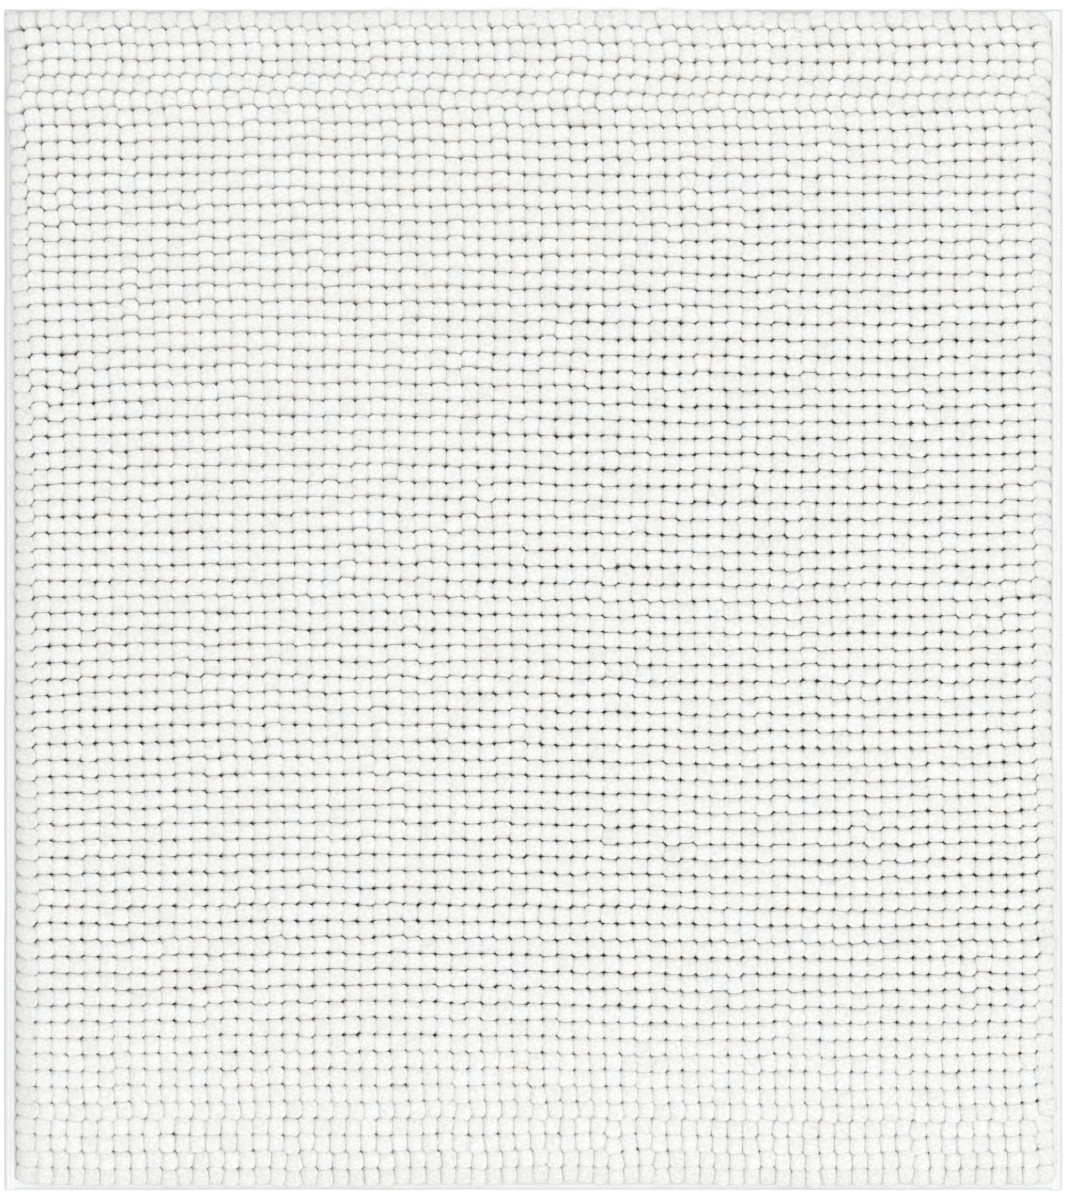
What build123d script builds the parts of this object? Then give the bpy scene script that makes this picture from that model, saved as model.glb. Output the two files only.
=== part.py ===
from build123d import *
import os

# Bobble bath mat: rows of looped chenille yarn tufted through a ground cloth, a latex coat that holds
# the yarn, an anti-slip backing, and four lengths of folded binding tape sewn over the edges.
# Millimetres. +X runs along the yarn rows, +Y along the mat's length, +Z up.
# The origin is the middle of the underside, so the mat rests on the plane z = 0.

# ---- driving dimensions ------------------------------------------------------------------------------
MAT_WIDTH = 538.0          # along X, over the binding
MAT_LENGTH = 600.0         # along Y, over the binding
MAT_HEIGHT = 16.0          # underside to the crowns of the yarn loops

ROWS = 72                  # yarns across the length
LOOPS = 67                 # loops along each yarn
ROWS_PER_NODE = 2          # neighbouring yarns that share one node
ROW_GAP = 0.35             # daylight between neighbouring yarns
LOOP_DIP = 3.0             # how far the yarn drops between two crowns

BACKING_THICKNESS = 0.7    # anti-slip backing
COAT_THICKNESS = 0.6       # latex coat
CLOTH_THICKNESS = 0.6      # ground cloth

TAPE_WIDTH = 5.5           # how far each folded tape reaches in from the edge
TAPE_THICKNESS = 0.7       # one layer of tape

THREAD = 0.36              # sewing thread diameter
THREAD_INSET = 2.2         # thread centre line to the tape's inner edge
GROOVE = 0.44              # square channel that the tight underside thread presses into the tape
THREAD_CLEARANCE = 0.04    # thread to the tape under or over it

LABEL_WIDTH = 30.0         # blank care label, along X
LABEL_LENGTH = 50.0        # along Y
LABEL_THICKNESS = 0.25
LABEL_CENTRE_X = 180.0
TACK = 0.2                 # label stitch, square section
TACK_INSET = 2.0           # stitch line to the label's short edges

# ---- places worked out from them ---------------------------------------------------------------------
HALF_WIDTH = MAT_WIDTH / 2
HALF_LENGTH = MAT_LENGTH / 2
COAT_BOTTOM = BACKING_THICKNESS
CLOTH_BOTTOM = COAT_BOTTOM + COAT_THICKNESS
CLOTH_TOP = CLOTH_BOTTOM + CLOTH_THICKNESS
TAPE_TOP = CLOTH_TOP + TAPE_THICKNESS

FIELD_X = HALF_WIDTH - TAPE_WIDTH       # half size of the area inside the binding
FIELD_Y = HALF_LENGTH - TAPE_WIDTH
CORE_X = HALF_WIDTH - TAPE_THICKNESS    # half size of the layers that the binding wraps
CORE_Y = HALF_LENGTH - TAPE_THICKNESS

ROW_PITCH = 2 * FIELD_Y / ROWS
LOOP_PITCH = 2 * FIELD_X / LOOPS

parts = {}


def block(x0, x1, y0, y1, z0, z1):
    """A box from its lowest to its highest corner."""
    return Pos((x0 + x1) / 2, (y0 + y1) / 2, (z0 + z1) / 2) * Box(x1 - x0, y1 - y0, z1 - z0)


# ---- pile: chenille yarns ----------------------------------------------------------------------------
def chenille_yarn():
    """One yarn at y = 0: a bar whose top rises and dips in one arc for each loop."""
    dip_z = MAT_HEIGHT - LOOP_DIP
    with BuildPart() as yarn:
        with BuildSketch(Plane.XZ):
            with BuildLine():
                Polyline((-FIELD_X, dip_z), (-FIELD_X, CLOTH_TOP), (FIELD_X, CLOTH_TOP), (FIELD_X, dip_z))
                for loop in range(LOOPS):
                    x0 = -FIELD_X + loop * LOOP_PITCH
                    x1 = x0 + LOOP_PITCH
                    ThreePointArc((x0, dip_z), ((x0 + x1) / 2, MAT_HEIGHT), (x1, dip_z))
            make_face()
        extrude(amount=(ROW_PITCH - ROW_GAP) / 2, both=True)
    return yarn.part


def row_y(row):
    """Centre line of a yarn row, counted from the near edge."""
    return -FIELD_Y + (row + 0.5) * ROW_PITCH


yarn = chenille_yarn()
for pair in range(ROWS // ROWS_PER_NODE):
    first = pair * ROWS_PER_NODE
    yarns = [Pos(0, row_y(first + n), 0) * yarn for n in range(ROWS_PER_NODE)]
    parts[f"yarn_pair_{pair + 1:02d}"] = Compound(children=yarns)


# ---- the layers under the pile -----------------------------------------------------------------------
parts["ground_cloth"] = block(-CORE_X, CORE_X, -CORE_Y, CORE_Y, CLOTH_BOTTOM, CLOTH_TOP)
parts["latex_coat"] = block(-CORE_X, CORE_X, -CORE_Y, CORE_Y, COAT_BOTTOM, CLOTH_BOTTOM)

label_x0 = LABEL_CENTRE_X - LABEL_WIDTH / 2
label_x1 = LABEL_CENTRE_X + LABEL_WIDTH / 2
label_y0 = -FIELD_Y
label_y1 = label_y0 + LABEL_LENGTH
label_bed = block(label_x0, label_x1, label_y0, label_y1, 0, LABEL_THICKNESS)
parts["anti_slip_backing"] = block(-FIELD_X, FIELD_X, -FIELD_Y, FIELD_Y, 0, BACKING_THICKNESS) - label_bed


# ---- binding tape and its lockstitch seams -----------------------------------------------------------
def side_tape(side):
    """Tape folded over a long edge: an upper leg, a wall and a lower leg, its two ends tucked in."""
    inner, outer, wall = side * FIELD_X, side * HALF_WIDTH, side * CORE_X
    folded = block(min(inner, outer), max(inner, outer), -HALF_LENGTH, HALF_LENGTH, 0, TAPE_TOP)
    pocket = block(min(inner, wall), max(inner, wall), -CORE_Y, CORE_Y, COAT_BOTTOM, CLOTH_TOP)
    return folded - pocket


def end_tape(side):
    """Tape folded over a short edge, between the two side tapes."""
    inner, outer, wall = side * FIELD_Y, side * HALF_LENGTH, side * CORE_Y
    folded = block(-FIELD_X, FIELD_X, min(inner, outer), max(inner, outer), 0, TAPE_TOP)
    pocket = block(-FIELD_X, FIELD_X, min(inner, wall), max(inner, wall), COAT_BOTTOM, CLOTH_TOP)
    return folded - pocket


def thread_rod(length, place):
    """A straight sewing thread of this length."""
    return place * Cylinder(THREAD / 2, length)


side_seam_x = FIELD_X + THREAD_INSET
end_seam_y = FIELD_Y + THREAD_INSET
side_seam_length = MAT_LENGTH - 2 * TAPE_THICKNESS
end_seam_length = 2 * FIELD_X
upper_thread_z = TAPE_TOP + THREAD_CLEARANCE + THREAD / 2
lower_thread_z = (GROOVE - THREAD) / 2 + THREAD / 2

for name, side in (("left", -1), ("right", 1)):
    x = side * side_seam_x
    channel = Pos(x, 0, GROOVE / 2) * Box(GROOVE, side_seam_length + GROOVE, GROOVE)
    parts[f"binding_tape_{name}"] = side_tape(side) - channel
    parts[f"needle_thread_{name}"] = thread_rod(side_seam_length, Pos(x, 0, upper_thread_z) * Rot(90, 0, 0))
    parts[f"bobbin_thread_{name}"] = thread_rod(side_seam_length, Pos(x, 0, lower_thread_z) * Rot(90, 0, 0))

for name, side in (("near", -1), ("far", 1)):
    y = side * end_seam_y
    channel = Pos(0, y, GROOVE / 2) * Box(end_seam_length, GROOVE, GROOVE)
    parts[f"binding_tape_{name}"] = end_tape(side) - channel
    parts[f"needle_thread_{name}"] = thread_rod(end_seam_length, Pos(0, y, upper_thread_z) * Rot(0, 90, 0))
    parts[f"bobbin_thread_{name}"] = thread_rod(end_seam_length, Pos(0, y, lower_thread_z) * Rot(0, 90, 0))


# ---- care label and the stitches that hold it flat ---------------------------------------------------
tack_lines = (label_y0 + TACK_INSET, label_y1 - TACK_INSET)
tacks = [block(label_x0 + TACK_INSET, label_x1 - TACK_INSET, y - TACK / 2, y + TACK / 2, 0, TACK)
         for y in tack_lines]
label = block(label_x0, label_x1, label_y0, label_y1, 0, LABEL_THICKNESS)
for tack in tacks:
    label = label - tack
parts["care_label"] = label
parts["label_stitches"] = Compound(children=tacks)


# ---- write one file for each node --------------------------------------------------------------------
os.makedirs("parts", exist_ok=True)
for name, shape in parts.items():
    export_step(shape, f"parts/{name}.step")
print(f"{len(parts)} nodes, {ROWS} rows of {LOOPS} loops, row pitch {ROW_PITCH:.3f}, loop pitch {LOOP_PITCH:.3f}")
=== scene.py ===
# %% [markdown]
# # A bobble bath mat
# This lesson builds the looks of a bath mat: rows of thick chenille yarn, looped into thousands of soft
# bobbles, over a ground cloth, a latex coat and an anti-slip backing, with folded tape sewn round the edge.
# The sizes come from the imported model, which is loaded first as a fixed frame. Every mesh is worked out with
# numpy as whole arrays, in metres, in the frame's own axes: X along the yarn rows, Y along the mat's length
# and Z up out of the pile.

import bpy
import numpy as np
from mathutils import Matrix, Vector


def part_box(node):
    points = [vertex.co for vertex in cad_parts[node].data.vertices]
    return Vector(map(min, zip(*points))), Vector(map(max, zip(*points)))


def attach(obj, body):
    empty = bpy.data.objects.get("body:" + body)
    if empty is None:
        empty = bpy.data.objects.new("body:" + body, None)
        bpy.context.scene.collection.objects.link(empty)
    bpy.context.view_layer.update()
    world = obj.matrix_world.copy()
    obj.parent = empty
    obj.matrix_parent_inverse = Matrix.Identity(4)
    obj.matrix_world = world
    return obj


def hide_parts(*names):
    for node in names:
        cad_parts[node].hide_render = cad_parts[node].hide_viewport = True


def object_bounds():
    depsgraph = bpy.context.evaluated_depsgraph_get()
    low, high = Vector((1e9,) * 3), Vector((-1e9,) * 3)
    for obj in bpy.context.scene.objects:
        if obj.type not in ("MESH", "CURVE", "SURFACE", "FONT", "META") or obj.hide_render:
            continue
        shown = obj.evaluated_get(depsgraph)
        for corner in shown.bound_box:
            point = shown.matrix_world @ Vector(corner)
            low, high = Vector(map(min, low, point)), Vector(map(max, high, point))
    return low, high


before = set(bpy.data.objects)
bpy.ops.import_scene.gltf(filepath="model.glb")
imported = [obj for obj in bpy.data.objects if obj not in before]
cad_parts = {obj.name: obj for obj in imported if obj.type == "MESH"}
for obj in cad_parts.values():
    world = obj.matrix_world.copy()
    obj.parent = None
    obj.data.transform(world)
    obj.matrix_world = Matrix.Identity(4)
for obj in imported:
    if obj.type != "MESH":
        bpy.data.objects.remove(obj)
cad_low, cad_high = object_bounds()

MM = 0.001
print("mat size in mm:", [round(side / MM, 1) for side in cad_high - cad_low])

# %% [markdown]
# ## Camera, light and floor
# The mat is seen from straight above, a little to the right of its middle, through a long lens, so that rows
# at the edges look as square as rows in the middle. The light is soft and comes from all round, as under a
# large studio tent, a little stronger from the right. The floor is plain.

# %% Camera straight above the mat
SENSOR = 36 * MM
VIEW_HEIGHT = 2.4  # from the tape's top up to the lens
VIEW_LENGTH = 609.0 * MM  # how much the view takes in along Y
VIEW_SIDE = 3.35 * MM  # the lens stands this far to the right of the mat's middle
VIEW_RISE = 0.3 * MM  # and this far towards the far edge

tape_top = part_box("binding_tape_left")[1].z
camera = bpy.data.objects.new("camera", bpy.data.cameras.new("camera"))
camera.data.sensor_width = SENSOR / MM
camera.data.lens = SENSOR / MM * VIEW_HEIGHT / VIEW_LENGTH
camera.location = (VIEW_SIDE, VIEW_RISE, tape_top + VIEW_HEIGHT)
bpy.context.scene.collection.objects.link(camera)
bpy.context.scene.camera = camera
bpy.context.scene.view_settings.view_transform = "Standard"
print("lens in mm:", round(camera.data.lens, 1))

# %% Soft lights and a pale surround
SURROUND = (1.0, 1.0, 1.0, 1)
SURROUND_STRENGTH = 0.83
LIGHTS = (("overhead_light", (0.2, -0.3, 3.2), 2.4, 51.5),  # name, place, side in metres, watts
          ("side_light", (2.2, -0.8, 2.2), 1.6, 8))


def soft_light(name, place, size, power):
    """A square area light at this place, aimed at the middle of the mat."""
    light = bpy.data.lights.new(name, "AREA")
    light.size = size
    light.energy = power
    lamp = bpy.data.objects.new(name, light)
    lamp.location = place
    lamp.rotation_euler = (-Vector(place)).to_track_quat("-Z", "Y").to_euler()
    bpy.context.scene.collection.objects.link(lamp)


for settings in LIGHTS:
    soft_light(*settings)

world = bpy.data.worlds.new("studio")
world.use_nodes = True
world.node_tree.nodes["Background"].inputs["Color"].default_value = SURROUND
world.node_tree.nodes["Background"].inputs["Strength"].default_value = SURROUND_STRENGTH
bpy.context.scene.world = world

# %% [markdown]
# ## Turning arrays into meshes
# Every piece below ends as an array of points and a few arrays of faces. One helper puts them into a mesh
# with foreach_set, which copies a whole array at once. Two more give the faces of a tube, made of rings of
# points with the same number of points in each, and of many copies of a shape. Faces point outwards when
# each ring runs anticlockwise seen from the end that the rings run towards.


# %% Mesh helpers
def mesh_piece(name, points, face_blocks, material):
    """A smooth mesh from an array of points and arrays of faces, each with its own number of corners."""
    corners = np.concatenate([block.ravel() for block in face_blocks]).astype(np.int32)
    counts = np.concatenate([np.full(len(block), block.shape[1]) for block in face_blocks])
    starts = (np.cumsum(counts) - counts).astype(np.int32)
    mesh = bpy.data.meshes.new(name)
    mesh.vertices.add(len(points))
    mesh.vertices.foreach_set("co", points.astype(np.float32).ravel())
    mesh.loops.add(len(corners))
    mesh.loops.foreach_set("vertex_index", corners)
    mesh.polygons.add(len(starts))
    mesh.polygons.foreach_set("loop_start", starts)
    mesh.polygons.foreach_set("use_smooth", np.full(len(starts), True))
    mesh.update(calc_edges=True)
    mesh.validate()
    mesh.materials.append(material)
    piece = bpy.data.objects.new(name, mesh)
    bpy.context.scene.collection.objects.link(piece)
    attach(piece, "root")
    return piece


def paint(piece, name, values):
    """Stores one number for each point of a piece, which its material reads by this name."""
    layer = piece.data.attributes.new(name, "FLOAT", "POINT")
    layer.data.foreach_set("value", np.ascontiguousarray(values, np.float32).ravel())


def tube_quads(rings, around):
    """Quads of a tube: point j of ring i, its neighbour in the ring, and the same two in the next ring."""
    i, j = np.mgrid[:rings - 1, :around]
    beside = (j + 1) % around
    quads = [i * around + j, i * around + beside, (i + 1) * around + beside, (i + 1) * around + j]
    return np.stack(quads, -1).reshape(-1, 4)


def copies(faces, count, points_each):
    """The same faces for each of a number of copies whose points follow each other."""
    shift = np.arange(count) * points_each
    return (faces[None] + shift[:, None, None]).reshape(-1, faces.shape[1])


# %% [markdown]
# ## Shader helpers
# A material is a tree of nodes. These helpers add a node with its settings, and start a node group with
# named sockets. A group holds an effect that several materials share, and puts out only values that change
# over the surface; the shader itself stays in each material.


# %% Node helpers
def add(tree, kind, values=None, **settings):
    """A node of this kind, with these settings and these values in its inputs."""
    made = tree.nodes.new(kind)
    for name, value in settings.items():
        setattr(made, name, value)
    for name, value in (values or {}).items():
        made.inputs[name].default_value = value
    return made


def math(tree, operation, first, second):
    """The output of a Math node. A number goes into its input, and a socket is linked to it."""
    made = add(tree, "ShaderNodeMath", operation=operation)
    for slot, value in enumerate((first, second)):
        if isinstance(value, (int, float)):
            made.inputs[slot].default_value = value
        else:
            tree.links.new(value, made.inputs[slot])
    return made.outputs[0]


def blend_colour(tree, mask, first, second, mode="MIX"):
    """Goes from the first colour to the second as the mask goes from 0 to 1."""
    made = add(tree, "ShaderNodeMix", data_type="RGBA", blend_type=mode)
    for socket, value in ((made.inputs[0], mask), (made.inputs[6], first), (made.inputs[7], second)):
        if isinstance(value, bpy.types.NodeSocket):
            tree.links.new(value, socket)
        else:
            socket.default_value = value
    return made.outputs[2]


def span(tree, value, low, high, to_low=0.0, to_high=1.0):
    """Maps low to high onto to_low to to_high, and holds the ends."""
    limits = {"From Min": low, "From Max": high, "To Min": to_low, "To Max": to_high}
    made = add(tree, "ShaderNodeMapRange", limits)
    tree.links.new(value, made.inputs["Value"])
    return made.outputs["Result"]


def new_group(name, inputs, outputs):
    """An empty node group with a Vector input, these number inputs, and these number outputs."""
    tree = bpy.data.node_groups.new(name, "ShaderNodeTree")
    tree.interface.new_socket(name="Vector", in_out="INPUT", socket_type="NodeSocketVector")
    for title, value in inputs.items():
        socket = tree.interface.new_socket(name=title, in_out="INPUT", socket_type="NodeSocketFloat")
        socket.default_value = value
    for title in outputs:
        tree.interface.new_socket(name=title, in_out="OUTPUT", socket_type="NodeSocketFloat")
    return tree, tree.nodes.new("NodeGroupInput").outputs, tree.nodes.new("NodeGroupOutput").inputs


def place_group(tree, group, vector, **values):
    """A node group in a material, fed with coordinates and its own values."""
    made = tree.nodes.new("ShaderNodeGroup")
    made.node_tree = group
    tree.links.new(vector, made.inputs["Vector"])
    for name, value in values.items():
        made.inputs[name].default_value = value
    return made.outputs


def new_material(name, **values):
    """A material with one Principled shader: its tree, the shader, and the piece's Object coordinates."""
    material = bpy.data.materials.new(name)
    material.use_nodes = True
    tree = material.node_tree
    shader = tree.nodes["Principled BSDF"]
    for socket, value in values.items():
        shader.inputs[socket.replace("_", " ")].default_value = value
    return material, tree, shader, tree.nodes.new("ShaderNodeTexCoord").outputs["Object"]


def bump(tree, shader, height, strength, distance):
    """Feeds a height through a Bump node to the shader's normal."""
    made = add(tree, "ShaderNodeBump", {"Strength": strength, "Distance": distance})
    tree.links.new(height, made.inputs["Height"])
    tree.links.new(made.outputs["Normal"], shader.inputs["Normal"])


# %% [markdown]
# ## Effects that several materials share
# Fuzz is the fine, uneven nap of fibre ends: two noises, one about a millimetre across and one a third of
# that. Mottle is the slow change of tone over a few centimetres that any cloth has. Weave is the over and
# under of two sets of threads: two sine waves at right angles, the higher of which is the thread on top.


# %% Fuzz, mottle and weave groups
FINER = 3.1  # the fine noise's scale over the coarse one's
NOISE_RANGE = (0.3, 0.7)  # the part of a noise's values that a mask stretches to 0 to 1


def fuzz_group():
    """Height is a coarse and a fine noise in equal parts; Mask is the coarse one with more contrast."""
    tree, given, out = new_group("fibre_fuzz", {"Scale": 1000.0}, ("Height", "Mask"))
    coarse = add(tree, "ShaderNodeTexNoise", {"Detail": 2.0, "Roughness": 0.6})
    fine = add(tree, "ShaderNodeTexNoise", {"Detail": 1.0, "Roughness": 0.5})
    for noise, scale in ((coarse, given["Scale"]), (fine, math(tree, "MULTIPLY", given["Scale"], FINER))):
        tree.links.new(given["Vector"], noise.inputs["Vector"])
        tree.links.new(scale, noise.inputs["Scale"])
    tree.links.new(math(tree, "ADD", coarse.outputs[0], fine.outputs[0]), out["Height"])
    tree.links.new(span(tree, coarse.outputs[0], *NOISE_RANGE), out["Mask"])
    return tree


def mottle_group():
    """Mask is a broad noise, stretched to cover 0 to 1."""
    tree, given, out = new_group("cloth_mottle", {"Scale": 40.0}, ("Mask",))
    noise = add(tree, "ShaderNodeTexNoise", {"Detail": 3.0, "Roughness": 0.55})
    tree.links.new(given["Vector"], noise.inputs["Vector"])
    tree.links.new(given["Scale"], noise.inputs["Scale"])
    tree.links.new(span(tree, noise.outputs[0], *NOISE_RANGE), out["Mask"])
    return tree


def weave_group():
    """Height is the higher of a sine wave along x and one along y; Mask is their product, 0 in the holes."""
    tree, given, out = new_group("thread_weave", {"Across": 4000.0, "Along": 4000.0}, ("Height", "Mask"))
    split = tree.nodes.new("ShaderNodeSeparateXYZ")
    tree.links.new(given["Vector"], split.inputs[0])
    waves = []
    for axis, rate in (("X", "Across"), ("Y", "Along")):
        turn = math(tree, "MULTIPLY", split.outputs[axis], given[rate])
        waves.append(math(tree, "ABSOLUTE", math(tree, "SINE", turn, 0.0), 0.0))
    tree.links.new(math(tree, "MAXIMUM", *waves), out["Height"])
    tree.links.new(math(tree, "MULTIPLY", *waves), out["Mask"])
    return tree


def colour_layers(tree, shader, mask, dark, light, *tints):
    """Base colour: from dark to light by a mask, then towards each tint by its own mask times its share."""
    colour = blend_colour(tree, mask, dark, light)
    for tint_mask, share, tint in tints:
        colour = blend_colour(tree, math(tree, "MULTIPLY", tint_mask, share), colour, tint)
    tree.links.new(colour, shader.inputs["Base Color"])


fibre_fuzz = fuzz_group()
cloth_mottle = mottle_group()
thread_weave = weave_group()
print("shared effects:", [group.name for group in bpy.data.node_groups])

# %% [markdown]
# ## The chenille pile
# On the real mat, a thick chenille yarn is tufted through the cloth in straight rows, and each loop of it
# stands up as a soft bobble. The feet stand in a regular grid, because a machine set them, but the crowns
# lean, crowd and slip past each other. So the layout has two grids: one of feet, and one of crowns that
# drift slowly over the mat, jitter a little from loop to loop, and lean over the binding or away from it.

# %% Counts and the area the yarn stands on
YARN_NODES = sorted(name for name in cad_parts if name.startswith("yarn_pair_"))
ROWS = 2 * len(YARN_NODES)
LOOPS = 67

field_low, field_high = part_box("anti_slip_backing")
cloth_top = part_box("ground_cloth")[1].z
pile_top = cad_high.z
rng = np.random.default_rng(72)

row_share = np.repeat((np.arange(ROWS)[:, None] + 0.5) / ROWS, LOOPS, 1)
loop_share = np.repeat((np.arange(LOOPS)[None] + 0.5) / LOOPS, ROWS, 0)
foot_x = field_low.x + (field_high.x - field_low.x) * loop_share
foot_y = field_low.y + (field_high.y - field_low.y) * row_share
print(ROWS, "rows of", LOOPS, "loops")


# %% Soft random fields
def soft_noise(reach_rows, reach_loops):
    """Unit noise over the grid of loops, blurred by a Gaussian of these reaches, in the frequency domain."""
    waves = np.fft.fft2(rng.standard_normal((ROWS, LOOPS)))
    rate_rows = np.fft.fftfreq(ROWS)[:, None] * reach_rows
    rate_loops = np.fft.fftfreq(LOOPS)[None] * reach_loops
    field = np.fft.ifft2(waves * np.exp(-2 * np.pi**2 * (rate_rows**2 + rate_loops**2))).real
    return field / field.std()


# %% Where the crowns stand
LEAN_NEAR = 1.0 * MM  # how far the pile leans out over the near and far tapes
LEAN_FAR = 3.8 * MM
LEAN_LEFT = (-6.0, -3.4, 0.9)  # and over the left tape, in mm, at its near end, middle and far end
LEAN_RIGHT = (0.0, -3.8, -3.2)  # and over the right one; below 0 the loops lean in, away from the tape
TURN_LEFT = (0.0, -2.4, -3.2)  # how far the yarn's turns pull the outermost loops along Y, in mm
TURN_RIGHT = (2.8, 1.3, 0.0)
WAVE = 2.0 * MM  # the slow S of the rows across the mat
WAVE_START = 0.03
DRIFT_X = 0.8 * MM  # slow drift that neighbouring loops share
DRIFT_Y = 0.5 * MM
DRIFT_X_REACH, DRIFT_Y_REACH = (4, 6), (2, 5)  # rows and loops that it is shared over
ROW_SLIP = 0.4 * MM  # how far whole rows slip along themselves
EDGE_SLIP = 1.3 * MM  # and how much more they do near the two ends of the mat
ROW_SLIP_REACH = (0.6, 30)
STEP = 0.5 * MM  # how far a loop steps towards the next row, with the loops beside it
STEP_REACH = (1.2, 0)
JITTER_X = 0.25 * MM  # what each loop does by itself
JITTER_Y = 0.3 * MM
ALONE = (0, 0)


def along_side(values):
    """Goes from the near end's value to the middle's and the far end's, in mm, row by row."""
    return MM * np.interp(row_share, (0, 0.5, 1), values)


off_ends = 1 - np.abs(2 * row_share - 1) ** 6  # 1 over most of the mat, 0 at its near and far end
off_corners = 1 - np.abs(2 * row_share - 1) ** 40  # the same, but 0 only in the last rows
freedom = 0.4 + 0.6 * off_ends  # the tape steadies the rows beside it

crown_x = foot_x + along_side(LEAN_RIGHT) * loop_share - along_side(LEAN_LEFT) * (1 - loop_share)
crown_x += DRIFT_X * soft_noise(*DRIFT_X_REACH) + JITTER_X * soft_noise(*ALONE)
crown_x += (ROW_SLIP + EDGE_SLIP * (1 - off_ends)) * soft_noise(*ROW_SLIP_REACH)
crown_y = foot_y - LEAN_NEAR * (1 - row_share) + LEAN_FAR * row_share
crown_y += WAVE * np.sin(2 * np.pi * (loop_share - WAVE_START)) * off_ends
crown_y += DRIFT_Y * soft_noise(*DRIFT_Y_REACH) * freedom
crown_y += STEP * soft_noise(*STEP_REACH) + JITTER_Y * soft_noise(*ALONE) * freedom
crown_y[:, 0] += (along_side(TURN_LEFT) * off_corners)[:, 0]
crown_y[:, -1] += (along_side(TURN_RIGHT) * off_corners)[:, -1]
print("crowns lean up to", round(np.hypot(crown_x - foot_x, crown_y - foot_y).max() / MM, 1), "mm")

# %% [markdown]
# ## Loops that droop at the edge
# A loop in the middle is held up by its neighbours on all sides. One at the edge has nothing outside it, so
# its crown sinks a little and turns outwards. Between the two, the pile fans out: each crown's outer side is
# a little higher than the inner side of the next, so its round edge shows.

# %% Height and tilt of each crown
CROWN_GAP = 0.1 * MM  # the highest crown to the top of the mat's box
CROWN_JITTER = 0.3 * MM
DROOP = 1.6 * MM
CORNER_DROOP = 3.5 * MM
TILT_JITTER = 0.06  # tilts are slopes
TILT_SIDE, TILT_NEAR, TILT_FAR = 0.45, 0.4, 0.55
FAN_X, FAN_Y = 0.08, 0.16
EDGE_FALL = 0.75  # how much of the edge's effect is lost with each loop inwards


def edge_share(share, count):
    """Nearly 1 for the outermost line of loops on the low side, a tenth for the next, and 0 further in."""
    return np.clip(1.35 - share * count * EDGE_FALL, 0, 1) ** 1.5


at_left, at_right = edge_share(loop_share, LOOPS), edge_share(1 - loop_share, LOOPS)
at_near, at_far = edge_share(row_share, ROWS), edge_share(1 - row_share, ROWS)
tilt_x = TILT_SIDE * at_right - TILT_SIDE * at_left + TILT_JITTER * soft_noise(*ALONE)
tilt_y = TILT_FAR * at_far - TILT_NEAR * at_near + TILT_JITTER * soft_noise(*ALONE)
tilt_x -= FAN_X * (2 * loop_share - 1) ** 3
tilt_y -= FAN_Y * (2 * row_share - 1) ** 3
at_side, at_end = np.maximum(at_left, at_right), np.maximum(at_near, at_far)
at_edge = np.maximum(at_side, at_end)
crown_z = pile_top - CROWN_GAP - CROWN_JITTER * np.abs(soft_noise(*ALONE))
crown_z -= DROOP * at_edge + CORNER_DROOP * (at_side * at_end) ** 2
print("crown heights in mm:", round(crown_z.min() / MM, 1), "to", round(crown_z.max() / MM, 1))

# %% [markdown]
# ## The outline of a bobble
# Bobbles are soft, and each takes the room that its neighbours leave. Seen from above, a loop's outline is
# the cell of points nearer to its crown than to the next ones, with rounded corners. A power mean gives that
# with no search: in each direction, add up, over the eight neighbours, how squarely that direction faces
# the neighbour divided by half the distance to it, raised to a high power. The outline is the sum to the
# power of minus one over that power. Loops press into each other, more along a row than between rows, which
# leaves a shallow crease between two loops of a row, a deeper one between rows, and a hole at each corner.
# In the first rows at the near edge it is the other way round.

# %% Outline radius in each direction
ROWS_IN = (0, 3, 12, 60, 69, 72)  # rows in from the near edge, for the values below
SQUARENESS = (8.5, 8.5, 6.8, 6.8, 5.6, 6.0)  # the power: a high one leaves sharper corners
PRESS_IN_ROW = (0.7, 0.9, 1.9, 1.9, 2.0, 5.0)  # how far two loops overlap, in mm
PRESS_BETWEEN_ROWS = (2.8, 2.3, 0.6, 0.6, 1.0, 1.8)
PRESS_AT_SIDE = 0.6 * MM  # more of both in the outermost loops of a row
WIDEST_REACH = (5.6, 5.5, 5.15, 5.15, 5.1, 5.1)  # the furthest that any direction may reach, in mm
AROUND = np.radians([quarter * 90 + step for quarter in range(4) for step in (22, 45, 68)])


def bobble_outline():
    """Radius of every loop in the directions AROUND, from the power mean over its eight neighbours."""
    by_row = (SQUARENESS, PRESS_IN_ROW, PRESS_BETWEEN_ROWS, WIDEST_REACH)
    power, in_row, between_rows, widest = (np.interp(row_share[..., None] * ROWS, ROWS_IN, values)
                                           for values in by_row)
    extra = PRESS_AT_SIDE * at_side[..., None]
    wide_x, wide_y = (np.pad(grid, 1, mode="reflect", reflect_type="odd") for grid in (crown_x, crown_y))
    total = 0
    for up in (-1, 0, 1):
        for along in (-1, 0, 1):
            if up or along:
                next_to = slice(1 + up, 1 + up + ROWS), slice(1 + along, 1 + along + LOOPS)
                away_x, away_y = wide_x[next_to] - crown_x, wide_y[next_to] - crown_y
                distance = np.hypot(away_x, away_y)[..., None]
                half = (distance + extra + (between_rows if up else in_row) * MM) / 2
                facing = away_x[..., None] * np.cos(AROUND) + away_y[..., None] * np.sin(AROUND)
                total = total + (np.clip(facing, 0, None) / (distance * half)) ** power
    return np.minimum(total ** (-1 / power), widest * MM)


outline = bobble_outline()
print("bobbles are", round(2 * outline.mean() / MM, 1), "mm across")

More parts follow.
